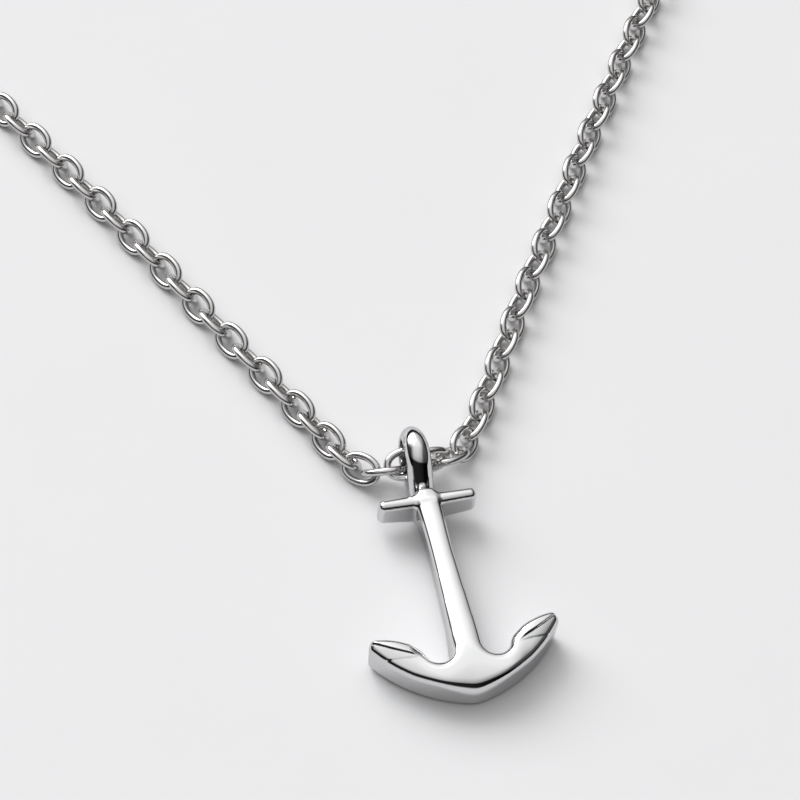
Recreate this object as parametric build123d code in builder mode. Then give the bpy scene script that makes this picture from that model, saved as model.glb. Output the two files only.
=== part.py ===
from build123d import *
from bisect import bisect_right
from math import asin, atan2, ceil, cos, degrees, exp, hypot, pi, radians, sin, tan
import os

os.makedirs("parts", exist_ok=True)

# All lengths are in millimetres and all angles in degrees.
# The anchor is drawn in its own frame: X across the arms, Y from the crown up the shank, Z from back to face.

# Anchor body
body_depth = 3.3
face_edge_radius = 0.42
back_edge_radius = 0.5

# Shank, a bar that is slimmest at its waist and widens to the crown
shank_head_width = 2.2
shank_waist_width = 2.1
shank_foot_width = 2.64
shank_head_height = 20.47
shank_waist_height = 14.4

# Stock, the bar across the head
stock_length = 8.9
stock_width = 1.24
stock_end_width = 1.06
head_over_stock = 0.35
stock_end_radius = 0.46
stock_end_depth = 2.55
stock_root_depth = 3.2
stock_underside_radius = 0.3

# Crown and arms. The edge of an arm is a chain of tangent arcs, from the notch beside the shank round to the tip.
# A last arc runs from the tip down to the crown's lowest point, which is at height 0.
notch_height = 4.42
notch_radius = 1.24
notch_turn = 163.5
heel_radius = 1.54
heel_turn = 35.5
fluke_top_radius = 6.53
fluke_top_turn = 32.5
tip_radius = 0.645
tip_turn = 132.0

# Facet sunk into the face of each fluke below a raised palm.
# Each point is given as shares of half the arms' span and of their rise above the crown's lowest point.
facet_depth = 0.3
FACET_HEEL = (0.497, 0.61)
FACET_OUTSIDE = (0.875, 0.735)
PALM_EDGE = [(0.563, 0.67), (0.658, 0.74), (0.754, 0.795), (0.85, 0.84), (0.93, 0.865)]
BEYOND_TIP = (1.066, 0.845)
AROUND_ARM = [(1.2, 0.0), (0.5, 0.0)]

# Bail, a ring that stands across the head on a short neck
bail_outer_radius = 2.88
bail_hole_radius = 1.95
bail_hole_offset = 0.1
bail_hole_drop = 0.12
bail_gap_over_head = 1.16
bail_centre_depth = 2.15
bail_top_width = 1.84
bail_neck_width = 2.2
bail_belly_width = 2.4
bail_belly_over_head = 2.4
bail_edge_radius = 0.58
bail_hole_edge_radius = 0.18
neck_back_inset = 0.6
neck_front_slope = 50.0
neck_blend_radius = 0.7
neck_overlap = 1.0

# Chain of oval links
wire_diameter = 0.68
link_length = 4.08
link_width = 3.05
link_clearance = 0.12
necklace_length = 450.0
slack_share = 0.19
slack_centre = -4.0
slack_reach = 12.4
bail_link_offset = -0.8
sag_in_bail = 0.2

# Route of the chain along its visible stretch and through the bail, whose middle is at 0, 0.
# Each row holds x, y, the share of the rise to the bail's hole, and the twist of the links.
ROUTE = [
    (-30.0, 49.45, 0.0, 45.0),
    (-24.9, 40.15, 0.0, 45.0),
    (-20.1, 30.95, 0.0, 45.0),
    (-15.6, 21.75, 0.0, 45.0),
    (-11.1, 12.8, 0.0, 45.0),
    (-8.3, 7.3, 0.0, 45.0),
    (-6.4, 3.4, 0.0, 45.0),
    (-5.1, 1.2, 0.0, 45.0),
    (-3.4, -0.25, 0.4, 40.0),
    (-1.5, -0.3, 0.95, 30.0),
    (0.0, -0.3, 1.0, 20.0),
    (1.7, -0.2, 0.9, -15.0),
    (3.5, 0.3, 0.45, -33.0),
    (5.4, 2.0, 0.05, -45.0),
    (7.3, 4.8, 0.0, -45.0),
    (9.7, 8.8, 0.0, -45.0),
    (12.4, 13.4, 0.0, -45.0),
    (15.7, 18.95, 0.0, -45.0),
    (20.4, 26.45, 0.0, -45.0),
    (25.2, 34.25, 0.0, -45.0),
    (31.1, 43.45, 0.0, -45.0),
    (37.2, 52.85, 0.0, -45.0),
]
hidden_row_spacing = 12.0
steps_between_rows = 60
link_turn = 90.0

# Clasp, a plain barrel with an eye at each end
barrel_diameter = 2.36
barrel_length = 7.0
barrel_end_radius = 0.7
eye_wire_diameter = 0.6
eye_hole_diameter = 1.9
eye_seat = 0.15


# Stock of the anchor, deepest at the shank and shallower at its two ends

stock_height = shank_head_height - head_over_stock - stock_width / 2
stock_underside_at_root = body_depth - stock_root_depth
stock_underside_at_end = body_depth - stock_end_depth

with BuildPart() as stock:
    with BuildSketch(Plane.XY):
        with BuildLine():
            Polyline(
                (-stock_length / 2, stock_height - stock_end_width / 2),
                (0, stock_height - stock_width / 2),
                (stock_length / 2, stock_height - stock_end_width / 2),
                (stock_length / 2, stock_height + stock_end_width / 2),
                (0, stock_height + stock_width / 2),
                (-stock_length / 2, stock_height + stock_end_width / 2),
                close=True,
            )
        make_face()
        fillet(vertices().group_by(Axis.X)[0] + vertices().group_by(Axis.X)[-1], stock_end_radius)
    extrude(amount=body_depth)
    with BuildSketch(Plane.XZ.offset(-stock_height)):
        with BuildLine():
            Polyline(
                (-stock_length, -body_depth),
                (-stock_length, stock_underside_at_end),
                (-stock_length / 2, stock_underside_at_end),
                (0, stock_underside_at_root),
                (stock_length / 2, stock_underside_at_end),
                (stock_length, stock_underside_at_end),
                (stock_length, -body_depth),
                close=True,
            )
        make_face()
    extrude(amount=stock_width, both=True, mode=Mode.SUBTRACT)
    underside = faces().filter_by(GeomType.PLANE).group_by(Axis.Z)[0]
    fillet(underside.edges().filter_by(Axis.Y, reverse=True), stock_underside_radius)


# Bail with its neck, whose front runs straight down from the ring and ends inside the head of the shank

bail_height = shank_head_height + bail_gap_over_head + bail_outer_radius
bail_top = bail_height + bail_outer_radius
hole_height = bail_height - bail_hole_offset
hole_depth = bail_centre_depth - bail_hole_drop
neck_foot = shank_head_height - neck_overlap
front_top_height = bail_height - bail_outer_radius * sin(radians(neck_front_slope))
front_top_depth = bail_centre_depth + bail_outer_radius * cos(radians(neck_front_slope))
front_foot_depth = front_top_depth - (front_top_height - shank_head_height) * tan(radians(neck_front_slope))

with BuildPart() as bail:
    with BuildSketch(Plane.YZ):
        with Locations((bail_height, bail_centre_depth)):
            Circle(bail_outer_radius)
        with BuildLine():
            Polyline(
                (neck_foot, neck_back_inset),
                (bail_height, neck_back_inset),
                (front_top_height, front_top_depth),
                (shank_head_height, front_foot_depth),
                (neck_foot, front_foot_depth),
                close=True,
            )
        make_face()
        fillet(vertices().group_by(Axis.Y)[0].sort_by(Axis.X)[-1], neck_blend_radius)
        with Locations((hole_height, hole_depth)):
            Circle(bail_hole_radius, mode=Mode.SUBTRACT)
    extrude(amount=bail_belly_width, both=True)
    with BuildSketch(Plane.XY):
        with BuildLine():
            Line((0, neck_foot), (bail_neck_width / 2, neck_foot))
            ThreePointArc(
                (bail_neck_width / 2, neck_foot),
                (bail_belly_width / 2, shank_head_height + bail_belly_over_head),
                (bail_top_width / 2, bail_top),
            )
            Line((bail_top_width / 2, bail_top), (0, bail_top))
            mirror(about=Plane.YZ)
        make_face()
    extrude(amount=bail_top, both=True, mode=Mode.INTERSECT)
    for side in (0, -1):
        outer_rim = faces().sort_by(Axis.X)[side].outer_wire().edges()
        fillet(outer_rim.sort_by(Axis.Y)[1:], bail_edge_radius)
        fillet(faces().sort_by(Axis.X)[side].inner_wires().edges(), bail_hole_edge_radius)


# Shank, crown and arms of the anchor, joined with the stock

half_head = shank_head_width / 2
half_foot = shank_foot_width / 2
shoulder_height = stock_height - stock_width

with BuildPart() as casting:
    with BuildSketch(Plane.XY):
        with BuildLine():
            Line((0, shank_head_height), (half_head, shank_head_height))
            Line((half_head, shank_head_height), (half_head, shoulder_height))
            Spline(
                (half_head, shoulder_height),
                (shank_waist_width / 2, shank_waist_height),
                (half_foot, notch_height),
                tangents=((0, -1), (0, -1)),
            )
            notch = JernArc((half_foot, notch_height), (0, -1), notch_radius, notch_turn)
            heel = JernArc(notch @ 1, notch % 1, heel_radius, -heel_turn)
            fluke_top = JernArc(heel @ 1, heel % 1, fluke_top_radius, -fluke_top_turn)
            tip = JernArc(fluke_top @ 1, fluke_top % 1, tip_radius, -tip_turn)
            TangentArc(tip @ 1, (0, 0), tangent=tip % 1)
            mirror(about=Plane.YZ)
        make_face()
    extrude(amount=body_depth)
    fillet(faces().sort_by(Axis.Z)[0].edges(), back_edge_radius)
    add(stock.part)
    fillet(faces().sort_by(Axis.Z)[-1].edges(), face_edge_radius)


# Facet cut from the face of a fluke, and its twin on the other fluke

half_span = tip.bounding_box().max.X
arms_rise = tip.bounding_box().max.Y


def arm_point(shares, height=0.0):
    """A point of the right arm from its shares of the arms' half span and rise, at a height."""
    across, up = shares
    return Vector(across * half_span, up * arms_rise, height)


facet_start = arm_point(FACET_HEEL, body_depth)
facet_side = arm_point(FACET_OUTSIDE, body_depth) - facet_start
facet_fall = arm_point(PALM_EDGE[-1], body_depth - facet_depth) - facet_start
facet_plane = Plane(origin=facet_start, z_dir=facet_side.cross(facet_fall))

with BuildPart() as facets:
    with BuildSketch(Plane.XY):
        with BuildLine():
            Spline(arm_point(FACET_HEEL), *[arm_point(shares) for shares in PALM_EDGE], arm_point(BEYOND_TIP))
            Polyline(arm_point(BEYOND_TIP), *[arm_point(shares) for shares in AROUND_ARM], arm_point(FACET_HEEL))
        make_face()
    extrude(amount=2 * body_depth)
    split(bisect_by=facet_plane, keep=Keep.TOP)
    mirror(about=Plane.YZ)


# Resting place of the anchor: it lies on the back of its crown and on the bail, whose middle is above 0, 0

crown_to_bail = Vector(bail_height - back_edge_radius, bail_centre_depth - back_edge_radius)
rest_slope = asin((bail_outer_radius - back_edge_radius) / crown_to_bail.length)
tilt = rest_slope - atan2(crown_to_bail.Y, crown_to_bail.X)


def rested(height, depth):
    """Where a point of the anchor's middle plane comes to lie, as its Y and Z."""
    along = height - bail_height
    above = depth - bail_centre_depth
    return along * cos(tilt) - above * sin(tilt), along * sin(tilt) + above * cos(tilt) + bail_outer_radius


anchor_rest = Location((0, *rested(0, 0)), (degrees(tilt), 0, 0))


# Path of the chain: rows of x, y, share of the rise to the bail's hole and twist, all round from the clasp

left_end = Vector(*ROUTE[0][:2])
right_end = Vector(*ROUTE[-1][:2])
left_way = (left_end - Vector(*ROUTE[1][:2])).normalized()
right_way = (right_end - Vector(*ROUTE[-2][:2])).normalized()
half_opening = radians(left_way.get_angle(right_way)) / 2
between_ends = right_end - left_end
left_reach = -between_ends.cross(right_way).Z / left_way.cross(right_way).Z
right_reach = between_ends.cross(left_way).Z / right_way.cross(left_way).Z
apex = left_end - left_way * left_reach


def curve_weights(share, run):
    """Weights of two rows and of their slopes, for a point at a share of the run between them."""
    square = share * share
    cube = square * share
    return (
        2 * cube - 3 * square + 1,
        3 * square - 2 * cube,
        (cube - 2 * square + share) * run,
        (cube - square) * run,
    )


def running_length(points):
    """Length in plan from the first point of a line to each of its points."""
    lengths = [0.0]
    for point, after in zip(points, points[1:]):
        lengths.append(lengths[-1] + hypot(after[0] - point[0], after[1] - point[1]))
    return lengths


def smooth(rows):
    """Points of a smooth curve through rows of numbers, whose first two are x and y."""
    marks = running_length(rows)
    slopes = []
    for index in range(len(rows)):
        first = max(index - 1, 0)
        last = min(index + 1, len(rows) - 1)
        slopes.append([(b - a) / (marks[last] - marks[first]) for a, b in zip(rows[first], rows[last])])
    points = []
    for index in range(len(rows) - 1):
        columns = list(zip(rows[index], rows[index + 1], slopes[index], slopes[index + 1]))
        for step in range(steps_between_rows):
            weights = curve_weights(step / steps_between_rows, marks[index + 1] - marks[index])
            points.append([sum(weight * value for weight, value in zip(weights, column)) for column in columns])
    points.append(rows[-1])
    return points


# The hidden stretch runs straight on from both visible ends and closes in one arc behind them.
visible_length = running_length(smooth(ROUTE))[-1]
back_radius = (necklace_length - visible_length + left_reach + right_reach) / (
    2 / tan(half_opening) + pi + 2 * half_opening
)
back_centre = apex + (left_way + right_way).normalized() * (back_radius / sin(half_opening))
half_arc = pi / 2 + half_opening


def hidden_rows(end, way, reach, turn, twist):
    """Rows of the hidden stretch, from a visible end to the middle of the back arc."""
    straight = back_radius / tan(half_opening) - reach
    straight_steps = ceil(straight / hidden_row_spacing)
    arc_steps = ceil(half_arc * back_radius / hidden_row_spacing)
    spoke = end + way * straight - back_centre
    stops = [end + way * (straight * step / straight_steps) for step in range(1, straight_steps + 1)]
    for step in range(1, arc_steps + 1):
        stops.append(back_centre + spoke.rotate(Axis.Z, turn * degrees(half_arc) * step / arc_steps))
    return [(stop.X, stop.Y, 0.0, twist) for stop in stops]


left_rows = hidden_rows(left_end, left_way, left_reach, -1, ROUTE[0][3])
right_rows = hidden_rows(right_end, right_way, right_reach, 1, ROUTE[-1][3])
path = smooth(left_rows[::-1] + ROUTE + right_rows)
path_marks = running_length(path)
row_in_bail = len(left_rows) + [rise for x, y, rise, twist in ROUTE].index(1.0)
bail_mark = path_marks[row_in_bail * steps_between_rows]


# Places of the links and of the clasp along the path

wire_radius = wire_diameter / 2
link_bend = (link_width - wire_diameter) / 2
half_straight = (link_length - link_width) / 2
taut_pitch = link_length - 2 * wire_diameter - link_clearance
hole_y, hole_z = rested(hole_height, hole_depth)
eye_bend = (eye_hole_diameter + eye_wire_diameter) / 2
eye_centre = barrel_length / 2 + eye_bend - eye_seat
end_link_mark = eye_centre + eye_hole_diameter / 2 - link_clearance - wire_diameter + link_length / 2


def axis_height(rise, twist):
    """Height of the chain's axis: the links lie on the ground, or rise to pass through the bail."""
    lying = wire_radius + link_bend * max(abs(sin(radians(twist))), abs(cos(radians(twist))))
    return lying + max(rise, 0.0) * (hole_z - sag_in_bail - lying)


def pitch_at(mark):
    """Distance from link to link: the chain is slack beside the bail and taut further away."""
    away = (mark - bail_mark - slack_centre) / slack_reach
    return taut_pitch * (1 - slack_share * exp(-away * away))


def value_at(wanted, keys, values):
    """Value that goes with a wanted key, between the two nearest keys of a rising list."""
    index = min(max(bisect_right(keys, wanted), 1), len(keys) - 1)
    share = (wanted - keys[index - 1]) / (keys[index] - keys[index - 1])
    return values[index - 1] + (values[index] - values[index - 1]) * share


link_counts = [0.0]
for mark, after in zip(path_marks, path_marks[1:]):
    link_counts.append(link_counts[-1] + (after - mark) / pitch_at((mark + after) / 2))
first_count = value_at(end_link_mark, path_marks, link_counts)
bail_count = value_at(bail_mark + bail_link_offset, path_marks, link_counts)
last_count = value_at(path_marks[-1] - end_link_mark, path_marks, link_counts)
links_before = ceil(bail_count - first_count)
links_after = ceil(last_count - bail_count)
counts_before = [first_count + (bail_count - first_count) * step / links_before for step in range(links_before)]
counts_after = [bail_count + (last_count - bail_count) * step / links_after for step in range(links_after + 1)]

centres = []
twists = []
for index, count in enumerate(counts_before + counts_after):
    mark = value_at(count, link_counts, path_marks)
    x, y, rise, twist = [value_at(mark, path_marks, column) for column in zip(*path)]
    centres.append(Vector(x, y, axis_height(rise, twist)))
    twists.append(twist + link_turn * (index - links_before))

# The clasp lies between the first and the last link, and its eyes pull them straight.
between_end_links = (centres[0] + centres[-1]) / 2
clasp_plane = Plane(
    origin=(between_end_links.X, between_end_links.Y, barrel_diameter / 2),
    x_dir=centres[0] - centres[-1],
    z_dir=(0, 0, 1),
)
clasp_place = clasp_plane.location
eyes = [clasp_plane.from_local_coords(Vector(eye_x, 0, 0)) for eye_x in (eye_centre, -eye_centre)]
held_centres = [eyes[0], *centres, eyes[1]]

link_places = []
for index, centre in enumerate(centres):
    along = held_centres[index + 2] - held_centres[index]
    level = Plane(origin=centre, x_dir=along, z_dir=along.cross(Vector(0, 0, 1).cross(along)))
    link_places.append(level.location * Location((0, 0, 0), (twists[index], 0, 0)))

with BuildPart() as link:
    with BuildLine():
        Line((-half_straight, -link_bend), (half_straight, -link_bend))
        ThreePointArc((half_straight, -link_bend), (half_straight + link_bend, 0), (half_straight, link_bend))
        Line((half_straight, link_bend), (-half_straight, link_bend))
        ThreePointArc((-half_straight, link_bend), (-half_straight - link_bend, 0), (-half_straight, -link_bend))
    with BuildSketch(Plane.YZ.offset(-half_straight)):
        with Locations((-link_bend, 0)):
            Circle(wire_radius)
    sweep()


# Clasp in its own frame: its barrel lies along X, and each eye stands across the link that it holds

with BuildPart() as closure:
    Cylinder(barrel_diameter / 2, barrel_length, rotation=(0, 90, 0))
    fillet(edges().filter_by(GeomType.CIRCLE), barrel_end_radius)
    for eye_x, end_twist in ((eye_centre, twists[0]), (-eye_centre, twists[-1])):
        with Locations(Location((eye_x, 0, 0), (end_twist + link_turn, 0, 0))):
            Torus(eye_bend, eye_wire_diameter / 2)


# The origin is under the middle of the whole necklace, on the ground that it lies on.

resting = [anchor_rest * casting.part, anchor_rest * bail.part, clasp_place * closure.part]
resting += [place * link.part for place in link_places]
box = Compound(resting).bounding_box()
to_origin = Location((-box.center().X, -box.center().Y, -box.min.Z))

with BuildPart() as anchor:
    with Locations(to_origin * anchor_rest):
        add(casting.part)
        add(facets.part, mode=Mode.SUBTRACT)
        add(bail.part)

with BuildPart() as chain:
    with Locations(*[to_origin * place for place in link_places]):
        add(link.part)

with BuildPart() as clasp:
    with Locations(to_origin * clasp_place):
        add(closure.part)

anchor.part.label = "anchor"
chain.part.label = "chain"
clasp.part.label = "clasp"
export_step(anchor.part, "parts/anchor.step")
export_step(chain.part, "parts/chain.step")
export_step(clasp.part, "parts/clasp.step")
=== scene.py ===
from math import atan2, cos, pi, radians, sin

import bpy
import numpy as np
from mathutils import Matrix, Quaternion, Vector


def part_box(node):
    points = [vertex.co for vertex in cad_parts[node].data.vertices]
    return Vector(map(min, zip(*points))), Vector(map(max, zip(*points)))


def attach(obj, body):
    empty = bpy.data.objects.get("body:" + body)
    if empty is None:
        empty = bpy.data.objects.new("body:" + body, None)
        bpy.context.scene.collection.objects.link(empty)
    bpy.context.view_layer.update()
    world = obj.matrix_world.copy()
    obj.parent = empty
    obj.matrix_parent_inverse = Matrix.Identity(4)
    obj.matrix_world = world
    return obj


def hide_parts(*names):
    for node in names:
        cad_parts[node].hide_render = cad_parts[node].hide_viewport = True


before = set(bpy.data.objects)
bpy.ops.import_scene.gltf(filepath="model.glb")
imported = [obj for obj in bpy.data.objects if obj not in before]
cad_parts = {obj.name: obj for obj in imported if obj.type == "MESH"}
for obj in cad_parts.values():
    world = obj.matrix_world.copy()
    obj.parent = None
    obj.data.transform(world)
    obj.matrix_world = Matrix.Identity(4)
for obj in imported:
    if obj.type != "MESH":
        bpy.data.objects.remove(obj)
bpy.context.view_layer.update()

MM = 0.001


# Camera: it looks at the surface a little beyond the anchor's bail.
# Places are in metres, the lens and its sensor in millimetres.

AIM_ASIDE = 0.88 * MM
AIM_BEYOND = 5.73 * MM
CAMERA_AZIMUTH = radians(-18.2)
CAMERA_ELEVATION = radians(53.0)
CAMERA_ROLL = radians(6.5)
CAMERA_DISTANCE = 0.2546
LENS = 123.75
SENSOR_WIDTH = 36.0
NEAREST_SEEN = 0.01
FURTHEST_SEEN = 10.0

pendant_low, pendant_high = [Vector(corner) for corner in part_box("anchor")]
pendant_middle = (pendant_low.x + pendant_high.x) / 2
aim = Vector((pendant_middle + AIM_ASIDE, pendant_high.y + AIM_BEYOND, 0.0))
to_camera = Vector((
    sin(CAMERA_AZIMUTH) * cos(CAMERA_ELEVATION),
    -cos(CAMERA_AZIMUTH) * cos(CAMERA_ELEVATION),
    sin(CAMERA_ELEVATION),
))
camera = bpy.data.objects.new("camera", bpy.data.cameras.new("camera"))
camera.data.lens = LENS
camera.data.sensor_width = SENSOR_WIDTH
camera.data.clip_start = NEAREST_SEEN
camera.data.clip_end = FURTHEST_SEEN
camera.location = aim + to_camera * CAMERA_DISTANCE
camera.rotation_mode = "QUATERNION"
camera.rotation_quaternion = to_camera.to_track_quat("Z", "Y") @ Quaternion((0, 0, 1), CAMERA_ROLL)
bpy.context.scene.collection.objects.link(camera)
bpy.context.scene.camera = camera


# Materials: polished silver, with a cloud of wear, a fine grain and a faint ripple

GLANCING_TINT = 0.72
CLOUD_SCALE = 420.0
CLOUD_DETAIL = 4.0
CLOUD_FROM = 0.3
CLOUD_TO = 0.7
GRAIN_SCALE = 9000.0
GRAIN_DETAIL = 2.0
GRAIN_HEIGHT = 0.004 * MM
RIPPLE_SCALE = 900.0
RIPPLE_DETAIL = 1.0
RIPPLE_HEIGHT = 0.02 * MM


def grey(level):
    """Colour with the same level in all its parts."""
    return (level, level, level, 1.0)


def noise(tree, scale, detail):
    """Noise over the piece's own coordinates."""
    place = tree.nodes.new("ShaderNodeTexCoord")
    node = tree.nodes.new("ShaderNodeTexNoise")
    node.inputs["Scale"].default_value = scale
    node.inputs["Detail"].default_value = detail
    tree.links.new(place.outputs["Object"], node.inputs["Vector"])
    return node.outputs["Fac"]


def bump(tree, pattern, strength, height):
    """A bump node that raises a pattern of 0 to 1 by a height in metres."""
    node = tree.nodes.new("ShaderNodeBump")
    node.inputs["Strength"].default_value = strength
    node.inputs["Distance"].default_value = height
    tree.links.new(pattern, node.inputs["Height"])
    return node


def polished(name, colour, roughness, wear, grain, ripple):
    """Polished silver whose roughness wanders up to wear, with grain and ripple of given strengths."""
    paint = bpy.data.materials.new(name)
    paint.use_nodes = True
    tree = paint.node_tree
    shader = tree.nodes["Principled BSDF"]
    shader.inputs["Base Color"].default_value = (*colour, 1.0)
    shader.inputs["Metallic"].default_value = 1.0
    shader.inputs["Specular Tint"].default_value = grey(GLANCING_TINT)

    spread = tree.nodes.new("ShaderNodeMapRange")
    spread.inputs["From Min"].default_value = CLOUD_FROM
    spread.inputs["From Max"].default_value = CLOUD_TO
    spread.inputs["To Min"].default_value = roughness
    spread.inputs["To Max"].default_value = wear
    tree.links.new(noise(tree, CLOUD_SCALE, CLOUD_DETAIL), spread.inputs["Value"])
    tree.links.new(spread.outputs["Result"], shader.inputs["Roughness"])

    fine = bump(tree, noise(tree, GRAIN_SCALE, GRAIN_DETAIL), grain, GRAIN_HEIGHT)
    wave = bump(tree, noise(tree, RIPPLE_SCALE, RIPPLE_DETAIL), ripple, RIPPLE_HEIGHT)
    tree.links.new(fine.outputs["Normal"], wave.inputs["Normal"])
    tree.links.new(wave.outputs["Normal"], shader.inputs["Normal"])
    return paint


anchor_silver = polished(
    "anchor_silver", colour=(0.69, 0.69, 0.695), roughness=0.03, wear=0.06, grain=0.06, ripple=0.04,
)
chain_silver = polished(
    "chain_silver", colour=(0.60, 0.59, 0.583), roughness=0.13, wear=0.2, grain=0.12, ripple=0.12,
)


def add_piece(name, points, faces, paint, normals):
    """A smooth mesh of points in millimetres with its exact normals."""
    mesh = bpy.data.meshes.new(name)
    mesh.from_pydata((points * MM).tolist(), [], faces.tolist())
    mesh.materials.append(paint)
    mesh.shade_smooth()
    mesh.normals_split_custom_set_from_vertices(normals.tolist())
    piece = bpy.data.objects.new(name, mesh)
    bpy.context.scene.collection.objects.link(piece)
    return piece


# Chain: every link of the frame again, round and smooth, in millimetres

LINKS = 171
WIRE_RADIUS = 0.34
LINK_HALF_LENGTH = 1.70
LINK_HALF_WIDTH = 1.185
LINK_FULLNESS = 2.2
LINK_STEPS = 44
WIRE_STEPS = 12


def turns_of(steps):
    """Angles that divide a full turn into equal steps."""
    return np.arange(steps) * 2 * pi / steps


def link_centre_line():
    """Points of a link's oval centre line, and the way out from its middle at each."""
    turns = turns_of(LINK_STEPS)
    directions = np.stack([np.cos(turns), np.sin(turns)], 1)
    signs = np.sign(directions)
    shares = np.abs(directions) ** (2 / LINK_FULLNESS)
    halves = np.array([LINK_HALF_LENGTH, LINK_HALF_WIDTH])
    outward = signs * shares ** (LINK_FULLNESS - 1) / halves
    outward /= np.linalg.norm(outward, axis=1, keepdims=True)
    return signs * shares * halves, outward


def link_form():
    """Points and normals of one link in its own plane."""
    line, outward = link_centre_line()
    turns = turns_of(WIRE_STEPS)
    flat = np.zeros(LINK_STEPS)
    out = np.cos(turns)[None, :, None] * np.column_stack([outward, flat])[:, None, :]
    up = np.sin(turns)[None, :, None] * np.array([0.0, 0.0, 1.0])
    normals = out + up
    points = np.column_stack([line, flat])[:, None, :] + WIRE_RADIUS * normals
    return points.reshape(-1, 3), normals.reshape(-1, 3)


def tube_faces(rings, around):
    """Faces of a closed tube of rings."""
    ring, step = np.meshgrid(np.arange(rings), np.arange(around), indexing="ij")
    after = (ring + 1) % rings
    beside = (step + 1) % around
    corners = [
        ring * around + step,
        after * around + step,
        after * around + beside,
        ring * around + beside,
    ]
    return np.stack(corners, -1).reshape(-1, 4)


def link_frames(node, count):
    """Middle and axes (along, across, out of its plane) of each link of the frame, in millimetres."""
    mesh = node.data
    points = np.zeros(len(mesh.vertices) * 3)
    mesh.vertices.foreach_get("co", points)
    mesh.calc_loop_triangles()
    corners = np.zeros(len(mesh.loop_triangles) * 3, int)
    mesh.loop_triangles.foreach_get("vertices", corners)
    triangles = points.reshape(-1, 3)[corners.reshape(-1, 3)] / MM
    frames = []
    for link in triangles.reshape(count, -1, 3, 3):
        area = np.linalg.norm(np.cross(link[:, 1] - link[:, 0], link[:, 2] - link[:, 0]), axis=1)
        mids = link.mean(1)
        middle = (area[:, None] * mids).sum(0) / area.sum()
        spread = (mids - middle).T @ ((mids - middle) * area[:, None])
        axes = np.linalg.eigh(spread)[1].T[::-1]
        axes[2] = np.cross(axes[0], axes[1])
        frames.append((middle, axes))
    return frames


form, form_normals = link_form()
chain_points = []
chain_normals = []
for middle, axes in link_frames(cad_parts["chain"], LINKS):
    chain_points.append(middle + form @ axes)
    chain_normals.append(form_normals @ axes)
chain_points = np.concatenate(chain_points)
chain_normals = np.concatenate(chain_normals)
one_link = tube_faces(LINK_STEPS, WIRE_STEPS)
chain_faces = np.concatenate([one_link + index * len(form) for index in range(LINKS)])
chain = add_piece("chain_links", chain_points, chain_faces, chain_silver, chain_normals)
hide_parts("chain")
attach(chain, "root")


# Anchor: a smooth solid in its own frame (across, along the shank, above its back), in millimetres

BODY_DEPTH = 3.3
FACE_EDGE_RADIUS = 0.5
BACK_EDGE_RADIUS = 0.5

HALF_WAIST = 1.11
HALF_HEAD = 1.14
HALF_FOOT = 1.36
NOTCH_HEIGHT = 4.42
WAIST_HEIGHT = 14.4
SHOULDER_HEIGHT = 18.26
HEAD_HEIGHT = 20.75
HEAD_CORNER_RADIUS = 0.85

# Lean of the shank's walls, outward for each millimetre down
SHANK_DRAFT = 0.09
SHANK_DRAFT_FROM = 4.5
SHANK_DRAFT_TO = 19.5
SHANK_DRAFT_RUN = 3.0

# Bends of the arm's edge, from the notch beside the shank along the fluke and round its tip:
# radius, turn in degrees
EDGE_BENDS = [(1.24, 163.5), (1.54, -35.5), (6.53, -32.5), (0.645, -132.0)]
HALF_SPAN = 8.379
ARMS_RISE = 6.201

# Keel, where the edges of both arms meet
KEEL_SOFTNESS = 0.25
KEEL_EDGE_RADIUS = 1.0
KEEL_REACH = 2.6
KEEL_DROP = 0.46

STOCK_HALF_LENGTH = 4.45
STOCK_HEIGHT = 19.5
STOCK_HALF_WIDTH = 0.62
STOCK_END_HALF_WIDTH = 0.53
STOCK_END_RADIUS = 0.46
STOCK_EDGE_RADIUS = 0.56
STOCK_DROP = 0.08
STOCK_LOW_AT_ROOT = 0.1
STOCK_LOW_AT_END = 0.75
STOCK_UNDERSIDE_RADIUS = 0.3
STOCK_BLEND = 0.35

# Bail: its half width is given at heights along the shank
BAIL_HEIGHT = 24.51
BAIL_CENTRE_DEPTH = 2.15
BAIL_RADIUS = 2.88
BAIL_HALF_WIDTHS = [(19.47, 1.1), (22.87, 1.2), (27.39, 0.92)]
BAIL_EDGE_RADIUS = 1.15
HOLE_HEIGHT = 24.41
HOLE_DEPTH = 2.03
HOLE_RADIUS = 1.95
HOLE_EDGE_RADIUS = 0.18
NECK_FOOT = 19.47
NECK_LOW = 0.6
NECK_FRONT_SLOPE = radians(50)
NECK_BLEND = 0.7
HEAD_BLEND = 0.12

# Swelling of the face: its fall at the edge, the scale of its height, and how it settles on the grid
DOME_DROP = 0.17
DOME_RISE = 0.55
DOME_FULLNESS = 1.5
DOME_SWEEPS = 500
DOME_OVERSHOOT = 1.85

# Lower edge of the palm, in shares of the arms' half span and of their rise.
# Its curve is carried on towards the shank by its lead.
PALM_EDGE = [
    (0.497, 0.575), (0.563, 0.63), (0.658, 0.697), (0.754, 0.757), (0.85, 0.83), (0.93, 0.895), (1.066, 1.0),
]
PALM_EDGE_DEGREE = 4
PALM_EDGE_LEAD = 1.0
PALM_RISE = 0.2
PALM_STEP = 0.2
PALM_RUN = 1.0

# Facet below the palm, and the fall of the arm's face from the palm
ARM_SLOPE = 0.13
ARM_REACH = 2.0
ARM_SLOPE_FROM = 2.8
ARM_SLOPE_RUN = 2.4
FACET_SLOPE = 0.08
CREASE_FROM = 4.2
CREASE_SPREAD = 0.33
CREASE_RISE = 0.04
CREASE_STEP = 0.16

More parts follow.
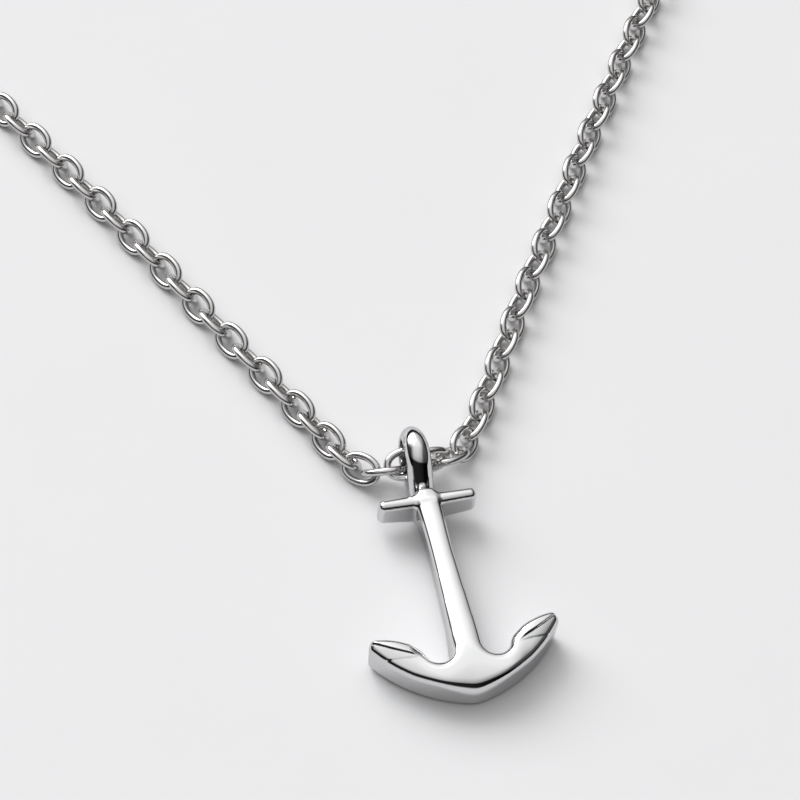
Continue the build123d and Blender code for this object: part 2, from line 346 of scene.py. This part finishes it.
# Grid that the skin is drawn on, and how its points are moved onto the skin
CELL = 0.095
DOME_MARGIN = 5 * CELL
SKIN_MARGIN = 3 * CELL
EVENING_SWEEPS = 5
EVENING_SHARE = 0.5
SKIN_MOVES = 2
SLOPE_STEP = 0.01
NOT_ZERO = 1e-9
FAR_AWAY = 99.0

# Tilt at which the anchor rests on its crown and its bail
REST_TILT = radians(1.74411)


def union(first, second, radius):
    """Union of two solids with a rounded inner corner."""
    inner = np.hypot(np.maximum(radius - first, 0), np.maximum(radius - second, 0))
    return np.maximum(radius, np.minimum(first, second)) - inner


def shared(first, second, radius):
    """Shared part of two solids with a rounded outer corner."""
    outer = np.hypot(np.maximum(radius + first, 0), np.maximum(radius + second, 0))
    return np.minimum(-radius, np.maximum(first, second)) + outer


def grown(value, run):
    """Share that grows smoothly from 0 to 1 while the value grows from 0 to the run."""
    share = np.clip(value / run, 0, 1)
    return share * share * (3 - 2 * share)


def grid_axes(low, high):
    """Places of a grid's points along each axis, from the low corner to just past the high one."""
    counts = np.ceil((high - low) / CELL).astype(int) + 1
    return [start + CELL * np.arange(count) for start, count in zip(low, counts)]


def outline_arcs():
    """Arcs of the right arm's edge from the notch to the keel: centre, radius, first angle, sweep."""
    arcs = []
    point = np.array([HALF_FOOT, NOTCH_HEIGHT])
    heading = -pi / 2
    for radius, degrees in EDGE_BENDS:
        turn = radians(degrees)
        centre = point + np.sign(turn) * radius * np.array([-sin(heading), cos(heading)])
        first = atan2(*(point - centre)[::-1])
        arcs.append((centre, radius, first, turn))
        heading += turn
        point = centre + radius * np.array([cos(first + turn), sin(first + turn)])
    turn = 2 * (atan2(-point[1], -point[0]) - heading)
    turn = (turn + pi) % (2 * pi) - pi
    radius = np.hypot(*point) / (2 * abs(sin(turn / 2)))
    centre = point + np.sign(turn) * radius * np.array([-sin(heading), cos(heading)])
    arcs.append((centre, radius, atan2(*(point - centre)[::-1]), turn))
    return arcs


*edge_arcs, keel_arc = outline_arcs()


def shank_half_width(along):
    """Half the shank's width, narrowest at its waist."""
    wider_above = (HALF_HEAD - HALF_WAIST) * grown(along - WAIST_HEIGHT, SHOULDER_HEIGHT - WAIST_HEIGHT)
    wider_below = (HALF_FOOT - HALF_WAIST) * grown(WAIST_HEIGHT - along, WAIST_HEIGHT - NOTCH_HEIGHT)
    return HALF_WAIST + wider_above + wider_below


def plan_distance(out, along):
    """Distance to the edge of shank, crown and arms seen from above, negative inside."""
    nearest = np.where(along >= NOTCH_HEIGHT, out - shank_half_width(along), FAR_AWAY)
    for centre, radius, first, sweep in edge_arcs:
        x = out - centre[0]
        y = along - centre[1]
        turned = (np.arctan2(y, x) - first) * np.sign(sweep) % (2 * pi)
        distance = (np.hypot(x, y) - radius) * -np.sign(sweep)
        closer = (turned <= abs(sweep)) & (np.abs(distance) < np.abs(nearest))
        nearest = np.where(closer, distance, nearest)
    centre, radius, first, sweep = keel_arc
    right = np.hypot(out - centre[0], along - centre[1]) - radius
    left = np.hypot(out + centre[0], along - centre[1]) - radius
    soft = np.maximum(KEEL_SOFTNESS - np.abs(right - left), 0)
    keel = np.maximum(right, left) + soft * soft / (4 * KEEL_SOFTNESS)
    below_tip = np.arctan2(along - centre[1], out - centre[0]) <= first
    return np.where(below_tip & (np.abs(keel) < np.abs(nearest)), keel, nearest)


def body_distance(out, along):
    """Distance to the edge of the body with its rounded head, seen from above."""
    return shared(plan_distance(out, along), along - HEAD_HEIGHT, HEAD_CORNER_RADIUS)


def stock_distance(out, along):
    """Distance to the edge of the stock seen from above, negative inside."""
    slope = (STOCK_HALF_WIDTH - STOCK_END_HALF_WIDTH) / STOCK_HALF_LENGTH
    side = np.abs(along - STOCK_HEIGHT) - STOCK_HALF_WIDTH + slope * out
    return shared(side, out - STOCK_HALF_LENGTH, STOCK_END_RADIUS)


def blown_up(inside):
    """Heights of a membrane blown up where inside is true, settled on every other point in turn."""
    parity = np.add.outer(np.arange(inside.shape[0]), np.arange(inside.shape[1])) % 2
    height = np.zeros(inside.shape)
    for sweep in range(DOME_SWEEPS):
        for turn in (0, 1):
            around = np.zeros(inside.shape)
            around[1:-1, 1:-1] = height[2:, 1:-1] + height[:-2, 1:-1] + height[1:-1, 2:] + height[1:-1, :-2]
            wanted = (around + CELL * CELL) / 4
            chosen = inside & (parity == turn)
            height = np.where(chosen, height + DOME_OVERSHOOT * (wanted - height), height)
    return height


def dome_heights(low, high):
    """Height of the face's swelling at each point of a grid."""
    across, along = np.meshgrid(*grid_axes(low, high), indexing="ij")
    height = blown_up(body_distance(np.abs(across), along) < 0)
    return DOME_RISE * height / (1 + height / DOME_FULLNESS)


dome_low = np.array([-HALF_SPAN, 0.0]) - DOME_MARGIN
dome_grid = dome_heights(dome_low, np.array([HALF_SPAN, HEAD_HEIGHT]) + DOME_MARGIN)


def spline_weights(s):
    """Weights of four points in a row for a place at share s between the middle two, by B-splines."""
    return [
        (1 - s) ** 3 / 6,
        (3 * s ** 3 - 6 * s ** 2 + 4) / 6,
        (-3 * s ** 3 + 3 * s ** 2 + 3 * s + 1) / 6,
        s ** 3 / 6,
    ]


def dome_at(across, along):
    """Height of the face's swelling at any place."""
    cells = []
    weights = []
    for value, low, count in zip((across, along), dome_low, dome_grid.shape):
        place = (np.asarray(value) - low) / CELL
        cell = np.clip(np.floor(place).astype(int), 1, count - 3)
        cells.append(cell)
        weights.append(spline_weights(np.clip(place - cell, 0, 1)))
    total = 0.0
    for i in range(4):
        for j in range(4):
            height = dome_grid[cells[0] + i - 1, cells[1] + j - 1]
            total = total + weights[0][i] * weights[1][j] * height
    return total


palm_outs, palm_heights = (np.array(PALM_EDGE) * (HALF_SPAN, ARMS_RISE)).T
palm_curve = np.polynomial.Polynomial.fit(palm_outs, palm_heights, PALM_EDGE_DEGREE)
palm_slope = palm_curve.deriv()
bail_curve = np.polynomial.Polynomial.fit(*np.array(BAIL_HALF_WIDTHS).T, len(BAIL_HALF_WIDTHS) - 1)


def fluke_relief(out, along):
    """What the palm, the facet below it and the fall of the arm add to the height of the face."""
    edge_out = np.clip(out, palm_outs[0] - PALM_EDGE_LEAD, palm_outs[-1])
    beyond_edge = (along - palm_curve(edge_out)) / np.hypot(1, palm_slope(edge_out))
    palm = grown(beyond_edge, PALM_STEP) * grown(out - palm_outs[0], PALM_RUN)
    facet_width = CREASE_SPREAD * np.maximum(out - CREASE_FROM, 0)
    crease = grown(beyond_edge + facet_width, CREASE_STEP) * grown(out - CREASE_FROM, PALM_RUN)
    fall = ARM_SLOPE * np.clip(-beyond_edge, 0, ARM_REACH)
    fall = fall + FACET_SLOPE * np.clip(-beyond_edge, 0, facet_width)
    in_arm = grown(out - ARM_SLOPE_FROM, ARM_SLOPE_RUN)
    return PALM_RISE * palm + CREASE_RISE * crease - in_arm * fall


def plan_fields(across, along):
    """What depends on the plan alone: body edge, stock edge, face height, bail half width, edge radius."""
    out = np.abs(across)
    near_keel = np.exp(-(across * across + along * along) / (KEEL_REACH * KEEL_REACH))
    face = BODY_DEPTH - DOME_DROP + dome_at(across, along) + fluke_relief(out, along) - KEEL_DROP * near_keel
    edge_radius = FACE_EDGE_RADIUS + (KEEL_EDGE_RADIUS - FACE_EDGE_RADIUS) * near_keel
    bail_half_width = bail_curve(np.clip(along, NECK_FOOT, None))
    return body_distance(out, along), stock_distance(out, along), face, bail_half_width, edge_radius


def body_solid(along, above, body_edge, face, edge_radius):
    """Distance to the skin of shank, crown and arms, negative inside."""
    in_shank = np.clip((along - SHANK_DRAFT_FROM) / SHANK_DRAFT_RUN, 0, 1)
    in_shank = in_shank * np.clip((SHANK_DRAFT_TO - along) / SHANK_DRAFT_RUN, 0, 1)
    leaning = body_edge + SHANK_DRAFT * in_shank * (BODY_DEPTH - above)
    return shared(shared(leaning, above - face, edge_radius), -above, BACK_EDGE_RADIUS)


def stock_solid(out, above, stock_edge):
    """Distance to the skin of the stock, whose underside rises towards its ends."""
    slope = (STOCK_LOW_AT_END - STOCK_LOW_AT_ROOT) / STOCK_HALF_LENGTH
    underside = (STOCK_LOW_AT_ROOT + slope * out - above) / np.hypot(1, slope)
    top = above - BODY_DEPTH + STOCK_DROP
    return shared(shared(stock_edge, top, STOCK_EDGE_RADIUS), underside, STOCK_UNDERSIDE_RADIUS)


def bail_solid(out, along, above, half_width):
    """Distance to the skin of the bail, whose front runs straight down from the ring as its neck."""
    from_middle = along - BAIL_HEIGHT
    over_middle = above - BAIL_CENTRE_DEPTH
    ring = np.hypot(from_middle, over_middle) - BAIL_RADIUS
    front = over_middle * cos(NECK_FRONT_SLOPE) - from_middle * sin(NECK_FRONT_SLOPE) - BAIL_RADIUS
    up_front = over_middle * sin(NECK_FRONT_SLOPE) + from_middle * cos(NECK_FRONT_SLOPE)
    front = np.where(up_front < 0, front, ring)
    back = union(ring, NECK_LOW - above, NECK_BLEND)
    profile = np.maximum(np.maximum(front, back), NECK_FOOT - along)
    hole = HOLE_RADIUS - np.hypot(along - HOLE_HEIGHT, above - HOLE_DEPTH)
    return shared(shared(profile, out - half_width, BAIL_EDGE_RADIUS), hole, HOLE_EDGE_RADIUS)


def solid(across, along, above, fields=None):
    """Distance to the skin of the anchor, negative inside."""
    body_edge, stock_edge, face, bail_half_width, edge_radius = fields or plan_fields(across, along)
    out = np.abs(across)
    body = body_solid(along, above, body_edge, face, edge_radius)
    casting = union(body, stock_solid(out, above, stock_edge), STOCK_BLEND)
    return union(casting, bail_solid(out, along, above, bail_half_width), HEAD_BLEND)


def inside_grid():
    """Low corner of the grid around the anchor, and which of its points are inside the solid."""
    low = np.array([-HALF_SPAN, 0.0, BAIL_CENTRE_DEPTH - BAIL_RADIUS]) - SKIN_MARGIN
    high = np.array([HALF_SPAN, BAIL_HEIGHT + BAIL_RADIUS, BAIL_CENTRE_DEPTH + BAIL_RADIUS]) + SKIN_MARGIN
    across_axis, along_axis, above_axis = grid_axes(low, high)
    across, along = np.meshgrid(across_axis, along_axis, indexing="ij")
    fields = [field[:, :, None] for field in plan_fields(across, along)]
    return low, solid(across[:, :, None], along[:, :, None], above_axis[None, None, :], fields) < 0


def crossed_cells(inside):
    """Which cells of the grid have some corners inside and some outside."""
    wide, long, high = np.array(inside.shape) - 1
    corners = np.zeros((wide, long, high), np.int8)
    for x in (0, 1):
        for y in (0, 1):
            for z in (0, 1):
                corners += inside[x:wide + x, y:long + y, z:high + z]
    return (corners > 0) & (corners < 8)


def cell_faces(inside, numbers):
    """Faces that join the four cells around each grid edge which leaves or enters the solid."""
    faces = []
    for axis in range(3):
        one = (axis + 1) % 3
        two = (axis + 2) % 3
        start = [slice(1, -1)] * 3
        start[axis] = slice(0, -1)
        end = list(start)
        end[axis] = slice(1, None)
        first = inside[tuple(start)]
        second = inside[tuple(end)]
        for leaving in (True, False):
            crossing = np.argwhere(first & ~second if leaving else ~first & second)
            crossing[:, [one, two]] += 1
            corners = []
            for step_one, step_two in ((0, 0), (1, 0), (1, 1), (0, 1)):
                corner = crossing.copy()
                corner[:, one] -= step_one
                corner[:, two] -= step_two
                corners.append(numbers[tuple(corner.T)])
            faces.append(np.stack(corners if leaving else corners[::-1], 1))
    return np.concatenate(faces)


def slope_of(points):
    """Direction in which the distance to the skin grows fastest."""
    slopes = []
    for axis in range(3):
        shift = np.zeros(3)
        shift[axis] = SLOPE_STEP
        slopes.append(solid(*(points + shift).T) - solid(*(points - shift).T))
    slopes = np.stack(slopes, 1)
    return slopes / np.maximum(np.linalg.norm(slopes, axis=1, keepdims=True), NOT_ZERO)


def onto_skin(points):
    """Points moved along the slope onto the skin, in a few moves."""
    for move in range(SKIN_MOVES):
        distance = np.clip(solid(*points.T), -CELL, CELL)
        points = points - slope_of(points) * distance[:, None]
    return points


def evened(points, faces):
    """Points moved a share of the way to the middle of their neighbours."""
    pairs = np.concatenate([faces[:, [side, (side + 1) % 4]] for side in range(4)])
    total = np.zeros_like(points)
    count = np.zeros(len(points))
    np.add.at(total, pairs[:, 0], points[pairs[:, 1]])
    np.add.at(count, pairs[:, 0], 1)
    return points + EVENING_SHARE * (total / count[:, None] - points)


def skin():
    """Points, faces and normals of the anchor's skin, in its own frame."""
    low, inside = inside_grid()
    crossed = crossed_cells(inside)
    numbers = np.full(crossed.shape, -1)
    numbers[crossed] = np.arange(crossed.sum())
    faces = cell_faces(inside, numbers)
    points = onto_skin(low + CELL * (np.argwhere(crossed) + 0.5))
    for sweep in range(EVENING_SWEEPS):
        points = onto_skin(evened(points, faces))
    points = onto_skin(onto_skin(points))
    return points, faces, slope_of(points)


def to_frame(points, directions):
    """Points and directions of the anchor's own frame laid down where the CAD node lies."""
    lowest, highest = [np.array(corner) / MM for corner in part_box("anchor")]
    middle = np.array([(lowest[0] + highest[0]) / 2, highest[1] - BAIL_RADIUS, lowest[2] + BAIL_RADIUS])
    turn = np.array([
        [1.0, 0.0, 0.0],
        [0.0, cos(REST_TILT), -sin(REST_TILT)],
        [0.0, sin(REST_TILT), cos(REST_TILT)],
    ])
    own_middle = np.array([0.0, BAIL_HEIGHT, BAIL_CENTRE_DEPTH])
    return (points - own_middle) @ turn.T + middle, directions @ turn.T


skin_points, skin_faces, skin_normals = skin()
laid_points, laid_normals = to_frame(skin_points, skin_normals)
anchor = add_piece("anchor_body", laid_points, skin_faces, anchor_silver, laid_normals)
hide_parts("anchor")
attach(anchor, "root")


# Clasp: the frame's own solid with the chain's silver

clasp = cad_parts["clasp"]
clasp.data.materials.clear()
clasp.data.materials.append(chain_silver)


# Pale, faintly mottled surface that the necklace lies on

FLOOR_REACH = 3.0
FLOOR_CORNERS = [(-1, -1), (1, -1), (1, 1), (-1, 1)]
FLOOR_ROUGHNESS = 0.65
FLOOR_GLOSS = 0.3
FLOOR_TONES = {"A": (0.75, 0.75, 0.76, 1.0), "B": (0.77, 0.77, 0.78, 1.0)}
MOTTLE_SCALE = 60.0
MOTTLE_DETAIL = 5.0


def mottled(name):
    """Matt paint that wanders between two close tones."""
    paint = bpy.data.materials.new(name)
    paint.use_nodes = True
    tree = paint.node_tree
    shader = tree.nodes["Principled BSDF"]
    shader.inputs["Roughness"].default_value = FLOOR_ROUGHNESS
    shader.inputs["Specular IOR Level"].default_value = FLOOR_GLOSS
    tone = tree.nodes.new("ShaderNodeMix")
    tone.data_type = "RGBA"
    for socket, colour in FLOOR_TONES.items():
        tone.inputs[socket].default_value = colour
    tree.links.new(noise(tree, MOTTLE_SCALE, MOTTLE_DETAIL), tone.inputs["Factor"])
    tree.links.new(tone.outputs["Result"], shader.inputs["Base Color"])
    return paint


def pale_surface():
    """Wide square of the surface, centred below the necklace."""
    mesh = bpy.data.meshes.new("surface")
    corners = [(x * FLOOR_REACH, y * FLOOR_REACH, 0) for x, y in FLOOR_CORNERS]
    mesh.from_pydata(corners, [], [(0, 1, 2, 3)])
    mesh.materials.append(mottled("surface"))
    piece = bpy.data.objects.new("surface", mesh)
    bpy.context.scene.collection.objects.link(piece)


pale_surface()


# Studio: a soft box behind and to the left, a grey ceiling, dark bands behind, in front and aside,
# and a dim strip at the horizon in front.
# Stops are an angle in degrees and a brightness. Up goes from the horizon behind the necklace (0)
# overhead (90) to the horizon in front of it (180). Across goes from left (-90) to right (90).

BOX_LIGHT = 7.0
BOX_UP = [
    (0, 0.0), (19, 0.0), (24, 0.15), (29, 1.0), (58, 1.0), (64, 0.3), (72, 0.1), (90, 0.0), (180, 0.0),
]
BOX_ACROSS = [
    (-90, 0.0), (-72, 0.0), (-62, 0.15), (-54, 1.0), (-20, 1.0),
    (-11, 0.2), (-4, 0.08), (6, 0.03), (20, 0.0), (90, 0.0),
]
CEILING_UP = [
    (0, 0.02), (16, 0.02), (22, 0.5), (48, 0.8), (60, 1.15), (74, 1.2), (90, 1.0),
    (120, 0.8), (138, 0.5), (144, 0.02), (173, 0.02), (177, 0.4), (180, 0.4),
]
CEILING_ACROSS = [(-90, 0.03), (-55, 0.06), (-26, 1.0), (8, 1.0), (24, 0.75), (44, 0.12), (90, 0.03)]

world = bpy.data.worlds.new("studio")
bpy.context.scene.world = world
world.use_nodes = True
sky_nodes = world.node_tree.nodes
sky_links = world.node_tree.links


def sky_math(operation, *values):
    """A math node of the sky, fed by numbers or by other nodes."""
    node = sky_nodes.new("ShaderNodeMath")
    node.operation = operation
    for socket, value in zip(node.inputs, values):
        if isinstance(value, (int, float)):
            socket.default_value = value
        else:
            sky_links.new(value, socket)
    return node.outputs[0]


def sky_ramp(angle, stops):
    """Brightness that goes through stops of (angle, brightness)."""
    low = stops[0][0]
    high = stops[-1][0]
    node = sky_nodes.new("ShaderNodeValToRGB")
    elements = node.color_ramp.elements
    places = [((place - low) / (high - low), level) for place, level in stops]
    for element, (place, level) in zip(elements, (places[0], places[-1])):
        element.position = place
        element.color = grey(level)
    for place, level in places[1:-1]:
        elements.new(place).color = grey(level)
    share = sky_math("DIVIDE", sky_math("SUBTRACT", angle, low), high - low)
    sky_links.new(share, node.inputs["Fac"])
    return node.outputs["Color"]


sky_place = sky_nodes.new("ShaderNodeTexCoord")
direction = sky_nodes.new("ShaderNodeSeparateXYZ")
sky_links.new(sky_place.outputs["Generated"], direction.inputs[0])


def along_ground(x, y):
    """Part of the direction along a way on the ground."""
    along_x = sky_math("MULTIPLY", direction.outputs["X"], x)
    along_y = sky_math("MULTIPLY", direction.outputs["Y"], y)
    return sky_math("ADD", along_x, along_y)


away = along_ground(-sin(CAMERA_AZIMUTH), cos(CAMERA_AZIMUTH))
aside = along_ground(cos(CAMERA_AZIMUTH), sin(CAMERA_AZIMUTH))
up = sky_math("DEGREES", sky_math("ARCTAN2", direction.outputs["Z"], away))
across = sky_math("DEGREES", sky_math("ARCSINE", aside))
ceiling = sky_math("MULTIPLY", sky_ramp(up, CEILING_UP), sky_ramp(across, CEILING_ACROSS))
soft_box = sky_math("MULTIPLY", sky_ramp(up, BOX_UP), sky_ramp(across, BOX_ACROSS))
light = sky_math("ADD", ceiling, sky_math("MULTIPLY", soft_box, BOX_LIGHT))
sky_links.new(light, sky_nodes["Background"].inputs["Strength"])
sky_nodes["Background"].inputs["Color"].default_value = grey(1.0)
bpy.context.scene.view_settings.view_transform = "Standard"
